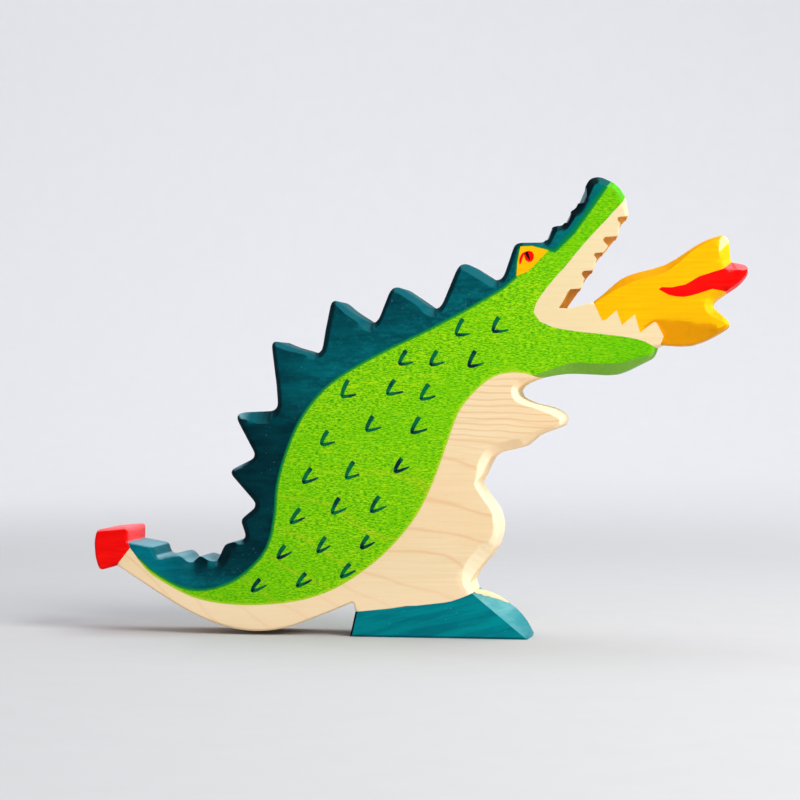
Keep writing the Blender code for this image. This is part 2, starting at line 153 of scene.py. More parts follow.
RIGHT_FROM = 0.25  # is more than this
FLANK_CURVE = 0.85  # the left flanks are scooped this much instead of cut flat
SCOOPED_FROM = 0.5  # a flank scooped less than this counts as flat
SPIKES_FROM = 50.0  # the tall spikes stand above this height
BROW_FROM = 28.0  # and behind this x
VALLEY_MARGIN = 0.2  # a right flank's cut ends this far before its valley
SHORT_FLANK = 6  # a flank of this many steps or fewer is only a rounded tip
MOUTH_CUT = 0.5  # greatest width of the flame's cut where the jaws touch it
LEAN_NEAR = 1.4  # the upper teeth stand out by this much on the near side
LEAN_FAR = -0.75  # stand back on the far side
LEAN_LIFT = 0.5  # and are lifted by this much
LEAN_REACH = 5.0  # which fades out at this distance from their sawn edge
MOUTH_TOP = 119.0  # the lower jaw's teeth end at this height
MOUTH_CORNER = 46.0  # and from this x on they rise
MOUTH_RISE = 0.6  # by this much per mm
LEAN_GROWS = 5.0  # the lean grows over this height above them

# ---- brush work ----
MARK_ROWS = [
    [(6.1, 110.3), (19.6, 111.4)],
    [(-14.7, 99.6), (-3.2, 99.3), (10.8, 98.7)],
    [(-36.0, 87.8), (-19.2, 88.7), (-6.8, 86.8)],
    [(-43.7, 70.2), (-26.9, 75.3), (-10.2, 74.6)],
    [(-50.5, 56.2), (-34.5, 58.0), (-16.4, 60.3)],
    [(-55.1, 41.3), (-39.7, 45.0), (-25.2, 45.7)],
    [(-60.0, 28.3), (-45.1, 30.7), (-28.9, 32.3)],
    [(-69.7, 16.0), (-52.8, 18.1), (-36.4, 21.6)],
]
MARK_TALL = 6.2
MARK_WIDE = 5.8
STROKE_POINTS = 9
PAINT_FILM = 0.05  # half the thickness of a paint stroke
ZONES = {
    "body": "lime_stain", "back_crest": "teal_stain", "belly": "bare_maple", "teeth": "bare_maple",
    "flame": "yellow_stain", "flame_tongue": "red_stain", "tail_tip": "red_stain",
}
CHIPPED = {"teeth": 0.06, "back_crest": 0.95}  # a chip's lines are further than this from the outline
FAR_AWAY = 50.0  # the greatest distance that is stored on a mesh
PLAIN = {"rim": 5.0, "carved": 0.0, "chip": 0.0, "to_body": FAR_AWAY}


# ---- outlines ----
def chain(links):
    """Closed loops of vertices from a dictionary of each vertex's two neighbours."""
    loops = []
    while links:
        here = next(iter(links))
        loop = []
        while here is not None:
            loop.append(here)
            ahead = [v for v in links.pop(here) if v in links]
            here = ahead[0] if ahead else None
        loops.append(loop)
    return loops


def slice_loops(thing, depth):
    """The closed lines, as arrays of (x, z) in mm, where the plane y = depth meets a CAD node."""
    mesh = bmesh.new()
    mesh.from_mesh(thing.data)
    bmesh.ops.remove_doubles(mesh, verts=mesh.verts, dist=1e-6)
    everything = mesh.verts[:] + mesh.edges[:] + mesh.faces[:]
    where = (0, depth * MM, 0)
    found = bmesh.ops.bisect_plane(mesh, geom=everything, plane_co=where, plane_no=(0, 1, 0))
    links = {}
    for part in found["geom_cut"]:
        if isinstance(part, bmesh.types.BMEdge):
            for a, b in (part.verts, reversed(part.verts)):
                links.setdefault(a, []).append(b)
    loops = []
    for loop in chain(links):
        line = np.array([(v.co.x / MM, v.co.z / MM) for v in loop])
        if len(line) > 2:
            loops.append(tidy_loop(line))
    mesh.free()
    return sorted(loops, key=lambda line: -abs(area(line)))


def unit(arrow):
    """The arrow, one long."""
    return arrow / max(np.hypot(*arrow), 1e-9)


def area(line):
    """Signed area inside a closed line."""
    ahead = np.roll(line, -1, axis=0)
    return 0.5 * float(np.sum(line[:, 0] * ahead[:, 1] - line[:, 1] * ahead[:, 0]))


def tidy_loop(line):
    """The same closed line counter-clockwise, without corners that don't turn."""
    if area(line) < 0:
        line = line[::-1]
    kept = list(line)
    i = 0
    while i < len(kept) and len(kept) > 3:
        before, here, after = kept[i - 1], kept[i], kept[(i + 1) % len(kept)]
        along = after - before
        length = np.hypot(*along)
        off = abs(along[0] * (here - before)[1] - along[1] * (here - before)[0]) / max(length, 1e-9)
        if off < STRAIGHT or np.hypot(*(here - before)) < STRAIGHT:
            kept.pop(i)
            i = max(i - 1, 0)
        else:
            i += 1
    return np.array(kept)


def gaps(starts, ends, points):
    """The distances of a chunk of points to every segment, with the chunk's place, chunk by chunk."""
    along = ends - starts
    square = np.maximum((along ** 2).sum(1), 1e-12)
    for first in range(0, len(points), CHUNK):
        part = slice(first, first + CHUNK)
        chunk = points[part, None, :]
        share = np.clip(((chunk - starts) * along).sum(2) / square, 0, 1)
        yield part, np.hypot(*np.moveaxis(starts + along * share[..., None] - chunk, 2, 0))


def nearest_on(starts, ends, points):
    """For each point: its distance to the segments, and the nearest segment's number."""
    best = np.zeros(len(points))
    which = np.zeros(len(points), dtype=int)
    for part, gap in gaps(starts, ends, points):
        best[part] = gap.min(1)
        which[part] = gap.argmin(1)
    return best, which


def to_loop(loop, points):
    """For each point: its distance to a closed line, and the number of the line's nearest side."""
    return nearest_on(loop, np.roll(loop, -1, axis=0), points)


def close_gaps(loops, fixed):
    """Move the corners along a paint line to the middle of its clearance, so that the zones meet."""
    moved = {}
    for name, loop in loops.items():
        moved[name] = loop.copy()
        if name == fixed:
            continue
        for i, point in enumerate(loop):
            partners = {}
            for other, there in loops.items():
                gap = np.hypot(*(there - point).T)
                if other != name and gap.min() < REACH:
                    partners[other] = there[gap.argmin()]
            if fixed in partners:
                moved[name][i] = partners[fixed]
            elif partners:
                moved[name][i] = np.mean([point, *partners.values()], axis=0)
    return moved


def neighbours(loops):
    """For each zone, the name of the zone across each of its sides, or None along the sawn edge."""
    across = {}
    for name, loop in loops.items():
        middle = (loop + np.roll(loop, -1, axis=0)) / 2
        owner = [None] * len(loop)
        for other, there in loops.items():
            if other == name:
                continue
            gap, _ = to_loop(there, middle)
            for i in np.nonzero(gap < MEETING)[0]:
                owner[i] = other
        across[name] = owner
    return across


def resample(loop, owner, smooth):
    """Evenly spaced points along a zone's line, with the zone across each of their sides."""
    points = []
    sides = []
    for i, start in enumerate(loop):
        end = loop[(i + 1) % len(loop)]
        step = SEAM_STEP if owner[i] else RIM_STEP
        count = max(1, round(np.hypot(*(end - start)) / step))
        for k in range(count):
            points.append(start + (end - start) * k / count)
            sides.append(owner[i])
    points = np.array(points)
    free = np.array([sides[i] is None and sides[i - 1] is None for i in range(len(sides))])
    for _ in range(smooth):
        middle = (np.roll(points, 1, axis=0) + np.roll(points, -1, axis=0) + 2 * points) / 4
        points = np.where(free[:, None], middle, points)
    return points, sides


# ---- the carved surface ----
def knife(name, spot, outward):
    """Width, steepness and curve of the knife cut at one place on a zone's sawn edge."""
    table = ZONE_CUTS.get(name)
    curve = 0.0
    if name == "back_crest":
        right = outward[0] + RIGHT_TILT * outward[1] > RIGHT_FROM
        table = RIGHT_FLANKS if right else LEFT_FLANKS
        scooped = spot[1] > SPIKES_FROM and spot[0] < BROW_FROM
        curve = FLANK_CURVE if scooped and not right else 0.0
    table = np.array(table, dtype=float)
    gap = np.hypot(*(table[:, :2] - spot).T) + CUT_NEAR
    weight = 1 / gap ** CUT_BLEND
    return np.append((table[:, 2:] * weight[:, None]).sum(0) / weight.sum(), curve)


class Board:
    """The sawn edge of the whole board, and the height of the carved face above the middle plane."""

    def __init__(self, half):
        self.half = half
        self.starts = []
        self.ends = []
        self.cuts = []
        self.owners = []
        self.valleys = []

    def add_edge(self, name, points, sides):
        """Add a zone's share of the sawn edge, run by run, each with its knife cut."""
        count = len(sides)
        first = next(i for i, owner in enumerate(sides) if owner is None and sides[i - 1] is not None)
        begun = len(self.cuts)
        for i in range(first, first + count):
            if sides[i % count] is not None:
                self.even_out(begun, name)
                begun = len(self.cuts)
                continue
            start = points[i % count]
            end = points[(i + 1) % count]
            along = unit(end - start)
            self.starts.append(start)
            self.ends.append(end)
            self.cuts.append(knife(name, (start + end) / 2, (along[1], -along[0])))
            self.owners.append(name)
        self.even_out(begun, name)

    def even_out(self, begun, name):
        """Let the knife's width change gradually along one run of the edge."""
        run = np.array(self.cuts[begun:])
        if len(run) < 3:
            return
        for _ in range(CREST_EVEN if name == "back_crest" else CUT_EVEN):
            wide = np.concatenate([run[:1], run, run[-1:]])
            run = (wide[:-2] + 2 * wide[1:-1] + wide[2:]) / 4
        self.cuts[begun:] = list(run)

    def stop_at_valleys(self):
        """End each right flank's cut with a straight edge below the valley between two spikes."""
        self.limits = np.full(len(self.cuts), 1e9)
        run = []
        for i, owner in enumerate(self.owners + [None]):
            spike = owner == "back_crest" and self.starts[i][1] > SPIKES_FROM
            if spike and self.cuts[i][2] < SCOOPED_FROM:
                run.append(i)
                continue
            if len(run) > SHORT_FLANK:
                valley = max((self.starts[k] for k in run), key=lambda spot: spot[0])
                if valley[0] < BROW_FROM:
                    self.valleys.append(valley)
                    self.limits[run] = valley[0] - VALLEY_MARGIN
            run = []

    def close(self):
        """Finish the edge, once every zone has added its share."""
        self.stop_at_valleys()
        for key in ("owners", "starts", "ends", "cuts"):
            setattr(self, key, np.array(getattr(self, key)))

    def from_teeth(self, points):
        """Distance of each point to the sawn edge of the teeth."""
        own = self.owners == "teeth"
        return nearest_on(self.starts[own], self.ends[own], points)[0]

    def height(self, points, zone):
        """At each point: height of the face, distance to the sawn edge, depth carved, edge rounding."""
        widths, slopes, curves = self.cuts.T
        if zone in ("teeth", "body"):
            widths = np.where(self.owners == "flame", np.minimum(widths, MOUTH_CUT), widths)
        rim = np.zeros(len(points))
        carved = np.zeros(len(points))
        for part, gap in gaps(self.starts, self.ends, points):
            left = np.maximum(0, widths - gap)
            depth = slopes * left * (1 - curves + curves * left / widths)
            depth *= np.clip((self.limits + CLIFF - points[part, :1]) / (2 * CLIFF), 0, 1)
            rim[part] = gap.min(1)
            carved[part] = depth.max(1)
        uneven = CUT_UNEVEN * np.clip(2 * carved, 0, 1)
        for across, up in CUT_WAVES:
            uneven *= np.sin(points[:, 0] * across + points[:, 1] * up)
        carved += uneven
        inside = np.clip(ROUNDING - rim, 0, ROUNDING)
        rounded = ROUNDING - np.sqrt(ROUNDING ** 2 - inside ** 2)
        return self.half - carved, rim, carved, rounded


def chip_lines(thing, outline, clear):
    """Points on both sides of the lines that a CAD node's chips follow at several depths."""
    spots = []
    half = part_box(thing.name)[1].y / MM
    for depth in CHIP_DEPTHS:
        for loop in slice_loops(thing, depth - half):
            gap, _ = to_loop(outline, loop)
            for i, start in enumerate(loop):
                j = (i + 1) % len(loop)
                if gap[i] < clear and gap[j] < clear:
                    continue
                along = loop[j] - start
                aside = unit(np.array((along[1], -along[0]))) * CLIFF
                count = max(1, math.ceil(np.hypot(*along) / RIM_STEP))
                for k in range(count + 1):
                    spot = start + along * k / count
                    spots += [spot + aside, spot - aside]
    return spots


def valley_lines(board):
    """Points on both sides of the straight edge below each valley."""
    spots = []
    for x, z in board.valleys:
        for k in range(1, VALLEY_ROWS + 1):
            spots.extend((x + shift, z - VALLEY_STEP * k) for shift in VALLEY_SHIFTS)
    return spots


class Chips:
    """Height of a CAD node's own surface, for the chips that the knife took out of its edge."""

    def __init__(self, thing, half, outline):
        self.half = half
        self.outline = outline
        self.tree = BVHTree.FromPolygons(
            [v.co.copy() for v in thing.data.vertices], [tuple(p.vertices) for p in thing.data.polygons])

    def well_inside(self, points):
        """The points, with those on the outline or past it moved a little way in."""
        gap, which = to_loop(self.outline, points)
        start = self.outline[which]
        along = (np.roll(self.outline, -1, axis=0) - self.outline)[which]
        size = np.maximum(np.hypot(*along.T), 1e-9)[:, None]
        share = ((points - start) * along).sum(1) / size[:, 0] ** 2
        share = np.clip(share, EDGE_SHARE, 1 - EDGE_SHARE)[:, None]
        inward = np.stack((-along[:, 1], along[:, 0]), axis=1) / size
        moved = start + along * share + inward * NUDGE
        return np.where((gap < NUDGE)[:, None], moved, points)

    def lower(self, points, height, rim):
        """The height, lowered where a chip is deeper than the edge's own knife cut."""
        lowered = height.copy()
        for i, (x, z) in enumerate(self.well_inside(points)):
            outside = Vector((x * MM, -2 * self.half * MM, z * MM))
            hit = self.tree.ray_cast(outside, Vector((0, 1, 0)))[0]
            if hit is None:
                continue
            there = -hit.y / MM
            if there < self.half - CHIP_LEAST - max(0.0, CHIP_RIM - rim[i]):
                lowered[i] = min(height[i], there)
        return lowered


def rings(points, sides, board):
    """Points inside a zone's line, in rings along the sanded edge and on both sides of each crease."""
    spots = []
    reach = []
    for i, here in enumerate(points):
        along = unit(points[(i + 1) % len(points)] - here) + unit(here - points[i - 1])
        if np.hypot(*along) < 1e-6:
            continue
        inward = unit(np.array((-along[1], along[0])))
        steps = list(SEAM_RINGS)
        if sides[i] is None or sides[i - 1] is None:
            width = board.cuts[np.hypot(*(board.starts - here).T).argmin(), 0]
            creases = [width + shift for shift in CREASE_RINGS]
            steps = list(RIM_RINGS) + [step for step in creases if step > FIRST_CREASE]
            if width > WIDE_CUT:
                steps.append(width / 2 + 0.3)
        spots.extend(here + inward * step for step in steps)
        reach.extend(steps)
    spots = np.array(spots)
    gap, _ = to_loop(points, spots)
    return spots[gap > np.array(reach) * 0.93 - 0.01]


def grid(points, inner):
    """Points of a triangular grid inside a zone, clear of its line and of the rings."""
    low, high = points.min(0), points.max(0)
    spots = []
    for row, z in enumerate(np.arange(low[1], high[1], GRID_STEP * GRID_ROWS)):
        first = low[0] + (row % 2) * GRID_STEP / 2
        spots.extend((x, z) for x in np.arange(first, high[0], GRID_STEP))
    spots = np.array(spots)
    gap, _ = to_loop(points, spots)
    crowd = np.array([np.hypot(*(inner - spot).T).min() for spot in spots])
    return spots[(gap > GRID_FROM_LINE) & (crowd > GRID_FROM_RING)]


def zone_face(name, points, sides, board, chips, extra):
    """A zone's carved face: its points, its triangles, its height, and what its finish needs."""
    inner = rings(points, sides, board)
    free = [inner, grid(points, inner)]
    if len(extra):
        free.append(np.array(extra))
    everything = np.concatenate([points] + free)
    loop = list(range(len(points)))
    edges = [(i, (i + 1) % len(points)) for i in loop]
    found = delaunay_2d_cdt([Vector(p) for p in everything], edges, [loop], 1, 1e-4)
    plane = np.array([(v.x, v.y) for v in found[0]])
    flat, rim, carved, rounded = board.height(plane, name)
    lowered = chips.lower(plane, flat, rim) if chips else flat
    face = np.maximum(lowered - rounded, THINNEST)
    return plane, found[2], face, {"rim": rim, "carved": carved, "chip": flat - lowered}


def build_zone(name, points, sides, board, lines, chips, extra):
    """The zone as a closed object: a carved face on each side and the sawn edge between them."""
    plane, faces, face, values = zone_face(name, points, sides, board, chips, extra)
    count = len(plane)
    turns = dict.fromkeys((t[k - 1], t[k]) for t in faces for k in range(len(t)))
    open_sides = [(a, b) for a, b in turns if (b, a) not in turns]
    verts = [(x * MM, -y * MM, z * MM) for (x, z), y in zip(plane, face)]
    verts += [(x * MM, y * MM, z * MM) for (x, z), y in zip(plane, face)]
    source = list(range(count)) * 2
    polygons = [tuple(t) for t in faces]
    polygons += [tuple(v + count for v in reversed(t)) for t in faces]
    columns = {}
    for v in sorted({v for side in open_sides for v in side}):
        column = [v]
        for row in range(1, WALL_ROWS):
            column.append(len(verts))
            y = -face[v] + 2 * face[v] * row / WALL_ROWS
            verts.append((plane[v][0] * MM, y * MM, plane[v][1] * MM))
            source.append(v)
        column.append(v + count)
        columns[v] = column
    for a, b in open_sides:
        for row in range(WALL_ROWS):
            polygons.append((columns[b][row], columns[a][row], columns[a][row + 1], columns[b][row + 1]))
    source = np.array(source)
    if name in ("teeth", "body"):
        verts = lean(verts, board.from_teeth(plane)[source], board.half)
    mesh = bpy.data.meshes.new(name + "_wood")
    mesh.from_pydata(verts, [], polygons)
    mesh.validate()
    for other, (start, end) in lines.items():
        values["to_" + other] = nearest_on(start, end, plane)[0]
    for key, amount in values.items():
        layer = mesh.attributes.new(key, "FLOAT", "POINT")
        layer.data.foreach_set("value", np.clip(amount, 0, FAR_AWAY)[source].astype(np.float32))
    work = bmesh.new()
    work.from_mesh(mesh)
    settle(work, mesh, SHARP_ZONE)
    return place(name + "_wood", mesh)


def lean(verts, rim, half):
    """The vertices, with the upper teeth standing out more and more towards the near face."""
    moved = []
    for (x, y, z), gap in zip(verts, rim):
        above = z / MM - MOUTH_TOP - MOUTH_RISE * max(0.0, x / MM - MOUTH_CORNER)
        share = min(1.0, max(0.0, above / LEAN_GROWS)) * max(0.0, 1 - gap / LEAN_REACH)
        near = (half - y / MM) / (2 * half)
        out = LEAN_FAR + (LEAN_NEAR - LEAN_FAR) * near
        moved.append((x + share * out * MM, y, z + share * LEAN_LIFT * MM))
    return moved


def settle(work, mesh, sharp):
    """Write the worked mesh back: faces outwards, smooth shading, sharp lines where it breaks."""
    bmesh.ops.recalc_face_normals(work, faces=work.faces)
    work.to_mesh(mesh)
    work.free()
    mesh.polygons.foreach_set("use_smooth", [True] * len(mesh.polygons))
    mesh.set_sharp_from_angle(angle=sharp)
    mesh.update()


def place(name, mesh):
    """An object in the scene with this mesh."""
    thing = bpy.data.objects.new(name, mesh)
    bpy.context.collection.objects.link(thing)
    return thing


def slab(name, outlines, low, high, faces=(-1, 1)):
    """Thin solids on the board's faces, from closed outlines, between two heights."""
    mesh = bmesh.new()
    for line in outlines:
        for side in faces:
            top = [mesh.verts.new((x * MM, side * high * MM, z * MM)) for x, z in line]
            base = [mesh.verts.new((x * MM, side * low * MM, z * MM)) for x, z in line]
            mesh.faces.new(top)
            mesh.faces.new(base[::-1])
            for i in range(len(line)):
                mesh.faces.new((top[i - 1], base[i - 1], base[i], top[i]))
    bmesh.ops.triangulate(mesh, faces=[f for f in mesh.faces if len(f.verts) > 4])
    bmesh.ops.recalc_face_normals(mesh, faces=mesh.faces)
    data = bpy.data.meshes.new(name)
    mesh.to_mesh(data)
    mesh.free()
    return place(name, data)


def film(name, outlines, height):
    """Thin paint strokes on both faces."""
    return slab(name, outlines, height - PAINT_FILM, height + PAINT_FILM)


def stroke(path, widths):
    """The closed outline of one brush stroke along a path, with a width at each of its points."""
    left = []
    right = []
    for i, (x, z) in enumerate(path):
        ahead = path[min(i + 1, len(path) - 1)]
        back = path[max(i - 1, 0)]
        dx, dz = ahead[0] - back[0], ahead[1] - back[1]
        size = math.hypot(dx, dz)
        nx, nz = -dz / size * widths[i] / 2, dx / size * widths[i] / 2
        left.append((x + nx, z + nz))
        right.append((x - nx, z - nz))
    return left + right[::-1]


def soften(mesh, radius):
    """Round every sharp edge of a CAD solid a little."""
    work = bmesh.new()
    work.from_mesh(mesh)
    bmesh.ops.remove_doubles(work, verts=work.verts, dist=1e-6)
    bmesh.ops.dissolve_limit(work, angle_limit=FLAT_WITHIN, verts=work.verts, edges=work.edges)
    sharp = [e for e in work.edges if e.is_manifold and e.calc_face_angle() > BEVEL_FROM]
    bmesh.ops.bevel(work, geom=sharp, offset=radius * MM, segments=2, profile=0.6, affect="EDGES",
                    clamp_overlap=True)
    bmesh.ops.remove_doubles(work, verts=work.verts, dist=TOO_SHORT * MM)
    bmesh.ops.dissolve_degenerate(work, dist=TOO_SHORT * MM, edges=work.edges)
    bmesh.ops.triangulate(work, faces=work.faces)
    settle(work, mesh, SHARP_SOLID)


# ---- finishes ----
def linear(colour):
    """An sRGB colour in 0-255 as a linear RGBA."""
    parts = [c / 255 for c in colour]
    return tuple(c / 12.92 if c <= 0.04045 else ((c + 0.055) / 1.055) ** 2.4 for c in parts) + (1.0,)


class Finish:
    """One material's nodes.  Its colour is built up by tints, like washes of stain."""

    def __init__(self, name):
        self.material = bpy.data.materials.new(name)
        self.material.use_nodes = True
        self.tree = self.material.node_tree
        self.place = self.node("TexCoord", "Object")
        self.colour = None

    def node(self, kind, output, inputs=None, **settings):
        """The named output of a new node."""
        node = self.tree.nodes.new("ShaderNode" + kind)
        for key, value in settings.items():
            setattr(node, key, value)
        self.join(node, inputs or {})
        return node.outputs[output]

    def join(self, node, inputs):
        """Set a node's inputs to values, or link them to other nodes' outputs."""
        for key, value in inputs.items():
            if isinstance(value, bpy.types.NodeSocket):
                self.tree.links.new(value, node.inputs[key])
            else:
                node.inputs[key].default_value = value

    def noise(self, stretch, detail=3.0, rough=0.55, shift=0.0, turn=0.0):
        """Noise whose features are about 1 / stretch metres long on each axis, turned about Y."""
        where = {"Vector": self.place, "Location": (shift, shift * 0.7, shift * 1.3), "Scale": stretch}
        kind = "POINT"
        if turn:
            kind = "TEXTURE"
            where["Scale"] = [1 / s for s in stretch]
            where["Rotation"] = (0.0, turn, 0.0)
        place = self.node("Mapping", "Vector", where, vector_type=kind)
        inputs = {"Vector": place, "Scale": 1.0, "Detail": detail, "Roughness": rough}
        return self.node("TexNoise", "Fac", inputs)

    def math(self, kind, *values):
        """One arithmetic step."""
        return self.node("Math", 0, dict(enumerate(values)), operation=kind)

    def times(self, a, b):
        return self.math("MULTIPLY", a, b)

    def span(self, value, low, high, most=1.0, least=0.0):
        """From least, where the value is low, smoothly to most, where it is high."""
        inputs = {"Value": value, "From Min": low, "From Max": high, "To Min": least, "To Max": most}
        return self.node("MapRange", "Result", inputs, interpolation_type="SMOOTHSTEP")

    def mix(self, share, a, b):
        """Colour a with this share of colour b, where each is a node's colour or plain sRGB."""
        a, b = (linear(colour) if isinstance(colour, tuple) else colour for colour in (a, b))
        return self.node("Mix", 2, {"Factor": share, 6: a, 7: b}, data_type="RGBA")

    def between(self, value, low, high, a, b):
        """A colour that goes from a to b as the value goes from low to high."""
        return self.mix(self.span(value, low, high), a, b)

    def tint(self, share, colour):
        """Wash this share of a colour over the finish."""
        self.colour = self.mix(share, self.colour, colour)

    def attribute(self, name):
        """A distance that is stored on the mesh, in mm."""
        return self.node("Attribute", "Fac", attribute_name=name)

    def axis(self, name):
        """X, Y or Z, in metres."""
        return self.node("SeparateXYZ", name, {0: self.place})

    def near(self, name, *limits):
        """A stored distance, mapped by span."""
        return self.span(self.attribute(name), *limits)

    def along(self, name, *limits):
        """X, Y or Z, mapped by span."""
        return self.span(self.axis(name), *limits)

    def towards(self, direction, *limits):
        """How far the surface faces a direction, -1 to 1, mapped by span."""
        inputs = {0: self.node("NewGeometry", "Normal"), 1: direction}
        return self.span(self.node("VectorMath", "Value", inputs, operation="DOT_PRODUCT"), *limits)

    def growth(self, spacing, waviness, sharpness):
        """Growth lines of the board: thin bands that run along X, sway, and fall to the right."""
        sway = self.noise((14, 14, 22), detail=1.5)
        fine = self.noise((60, 60, 120), detail=2.0, shift=3.0)
        lift = self.math("ADD", self.times(sway, waviness), self.times(fine, 0.0025))
        across = self.math("MINIMUM", self.axis("X"), 0.025)
        fall = self.times(across, self.math("SUBTRACT", 0.2, self.times(across, 4.0)))
        height = self.math("ADD", self.axis("Z"), self.math("ADD", lift, fall))
        wave = self.math("SINE", self.times(height, 2 * math.pi / spacing))
        return self.math("POWER", self.math("MULTIPLY_ADD", wave, 0.5, 0.5), sharpness)

    def done(self, pattern, rough, smooth, bumps, shine=0.06):
        """The finished material: rough to smooth with a pattern, bumps as (height, strength, metres)."""
        sheen = self.math("SUBTRACT", rough, self.span(pattern, 0.3, 0.7, rough - smooth))
        inputs = {"Base Color": self.colour, "Roughness": sheen, "Specular IOR Level": shine}
        for height, strength, depth in bumps:
            bump = {"Height": height, "Strength": strength, "Distance": depth}
            if "Normal" in inputs:
                bump["Normal"] = inputs["Normal"]
            inputs["Normal"] = self.node("Bump", "Normal", bump)
        self.join(self.tree.nodes["Principled BSDF"], inputs)
        return self.material


def lime_stain():
    """Yellow-green stain with short dark flecks along the grain."""
    look = Finish("lime_stain")
    fleck = look.noise((720, 720, 2500), detail=4.0, rough=0.75)
    streak = look.noise((90, 90, 1300), detail=3.0, shift=5.0)
    gold = look.noise((300, 300, 1700), detail=3.0, rough=0.6, shift=12.0)
    cloud = look.noise((22, 22, 34), detail=2.0, shift=9.0)
    look.colour = look.between(fleck, 0.38, 0.6, (34, 144, 0), (150, 224, 8))
    look.tint(look.span(gold, 0.5, 0.7, 0.65), (186, 228, 20))
    look.tint(look.span(streak, 0.6, 0.8, 0.35), (40, 140, 0))
    look.tint(look.span(cloud, 0.35, 0.7, 0.3), (98, 196, 0))
    # growth lines show through on the lower flank
    lines = look.growth(0.017, 0.045, 60.0)
    look.tint(look.times(lines, look.along("Z", 0.075, 0.045, 0.24)), (214, 190, 40))
    # deeper green on the jaw and the tail
    look.tint(look.along("X", 0.03, 0.075, 0.6), (84, 184, 0))
    look.tint(look.along("X", -0.035, -0.09, 0.4), (84, 184, 0))
    # the crest's stain laps over, and the stain is thin beside the bare wood
    look.tint(look.near("to_back_crest", 0.75, 0.35, 0.85), (0, 124, 44))
    look.tint(look.near("to_belly", 1.2, 0.1, 0.55), (206, 214, 60))
    # the facet at the nose, and painted shade on the faces that look down, a greyer green
    nose = look.times(look.near("carved", 0.0, 0.15), look.along("Z", 0.155, 0.158, 0.6))
    look.tint(nose, (78, 186, 46))
    look.tint(look.towards((0, 0, -1), 0.25, 0.6, 0.8), (128, 178, 70))
    return look.done(fleck, 0.65, 0.5, [(fleck, 0.3, 0.0001), (streak, 0.2, 0.0001)])


def teal_stain():
    """Blue-green stain of the crest and the foot."""
    look = Finish("teal_stain")
    brush = look.noise((55, 55, 240), detail=5.0, rough=0.6)
    grain = look.noise((420, 420, 900), detail=4.0, rough=0.7, shift=4.0)
    foot = look.times(look.along("Z", 0.019, 0.015), look.along("X", -0.04, -0.035))
    snout = look.along("X", 0.038, 0.046)
    teal_tones(look, brush, grain, foot)
    teal_edges(look, snout)
    teal_facets(look, snout)
    teal_toes(look, brush, foot)
    return look.done(brush, 0.55, 0.42, [(brush, 0.25, 0.0001), (grain, 0.2, 0.00008)], 0.03)


def teal_tones(look, brush, grain, foot):
    """The broad tones: worn beside the flank, darkest at the middle spikes, bright on tail and foot."""
    cloud = look.noise((28, 28, 40), detail=2.0, shift=2.0)
    speck = look.noise((1300, 1300, 1500), detail=1.0, shift=8.0)
    sweep = look.noise((38, 38, 330), detail=4.0, rough=0.6, turn=math.radians(-13))
    look.colour = look.between(brush, 0.3, 0.72, (0, 62, 72), (0, 96, 104))
    look.tint(look.span(grain, 0.45, 0.75, 0.5), (6, 112, 120))
    look.tint(look.span(cloud, 0.4, 0.7, 0.4), (0, 66, 76))
    worn = look.times(look.near("to_body", 9.0, 1.5, 0.35), look.span(grain, 0.4, 0.7))
    look.tint(worn, (14, 118, 124))
    away = look.times(look.near("to_body", 4.0, 20.0, 0.45), look.along("X", 0.01, -0.02))
    look.tint(away, (0, 42, 52))
    middle = look.times(look.along("Z", 0.1, 0.072, 0.85), look.along("Z", 0.018, 0.028))
    look.tint(middle, look.between(brush, 0.35, 0.7, (0, 27, 36), (0, 44, 54)))
    tail = look.along("X", -0.082, -0.108, 0.75)
    look.tint(tail, look.between(brush, 0.35, 0.7, (0, 98, 114), (0, 132, 148)))
    look.tint(foot, look.between(sweep, 0.36, 0.64, (0, 108, 120), (0, 132, 139)))
    look.tint(look.span(speck, 0.76, 0.8, 0.4), (120, 170, 175))


def teal_edges(look, snout):
    """The brighter stripe on the snout, a painted highlight where its sloping band catches the light, and
    the green line where the two stains overlap.
    """
    # painted highlight: the snout's band is a brighter teal
    stripe = look.times(snout, 0.6)
    look.tint(stripe, (0, 112, 112))
    edge = look.math("SUBTRACT", look.attribute("to_body"), stripe)
    look.tint(look.span(edge, 0.7, 0.3, 0.85), (0, 124, 54))


def teal_facets(look, snout):
    """Knife facets: painted light on those facing the upper right, painted shade on those facing left, and
    painted light and shade on the chips' floors.
    """
    # painted light on facets that face the upper right, painted shade on those that face left, deepest on
    # the snout
    cut = look.near("carved", 0.02, 0.2)
    lit = look.times(cut, look.towards((0.6, 0, 0.8), 0.25, 0.55, 0.8))
    look.tint(lit, look.mix(snout, (0, 86, 96), (0, 72, 72)))
    dark = look.times(cut, look.towards((-0.9, 0, 0.44), 0.15, 0.6, 0.8))
    look.tint(dark, (0, 30, 38))
    look.tint(look.times(dark, snout), (2, 14, 18))
    # painted shade on the snout: its rounded end and the dip behind it turn the dark facet away from the
    # edge
    end = look.along("Z", 0.16, 0.168, 7.6, 3.3)
    dip = look.along("Z", 0.149, 0.145, 2.0)
    beyond = look.math("SUBTRACT", look.attribute("to_body"), look.math("ADD", end, dip))
    look.tint(look.times(look.span(beyond, 0.0, 0.5, 0.85), snout), (0, 18, 26))
    # painted light: the tail's tops that face up are paler, as if lit by the open sky
    sky = look.times(look.towards((0, 0, 1), 0.5, 0.8), look.along("X", -0.07, -0.075, 0.5))
    look.tint(sky, (140, 190, 206))
    # painted light and shade on the chips' floors: pale grey-blue near the edge, where they catch light
    # from behind, dark further in
    floor = look.mix(look.near("rim", 2.0, 1.4), (0, 20, 28), (108, 142, 153))
    look.tint(look.near("chip", 0.05, 0.6), floor)


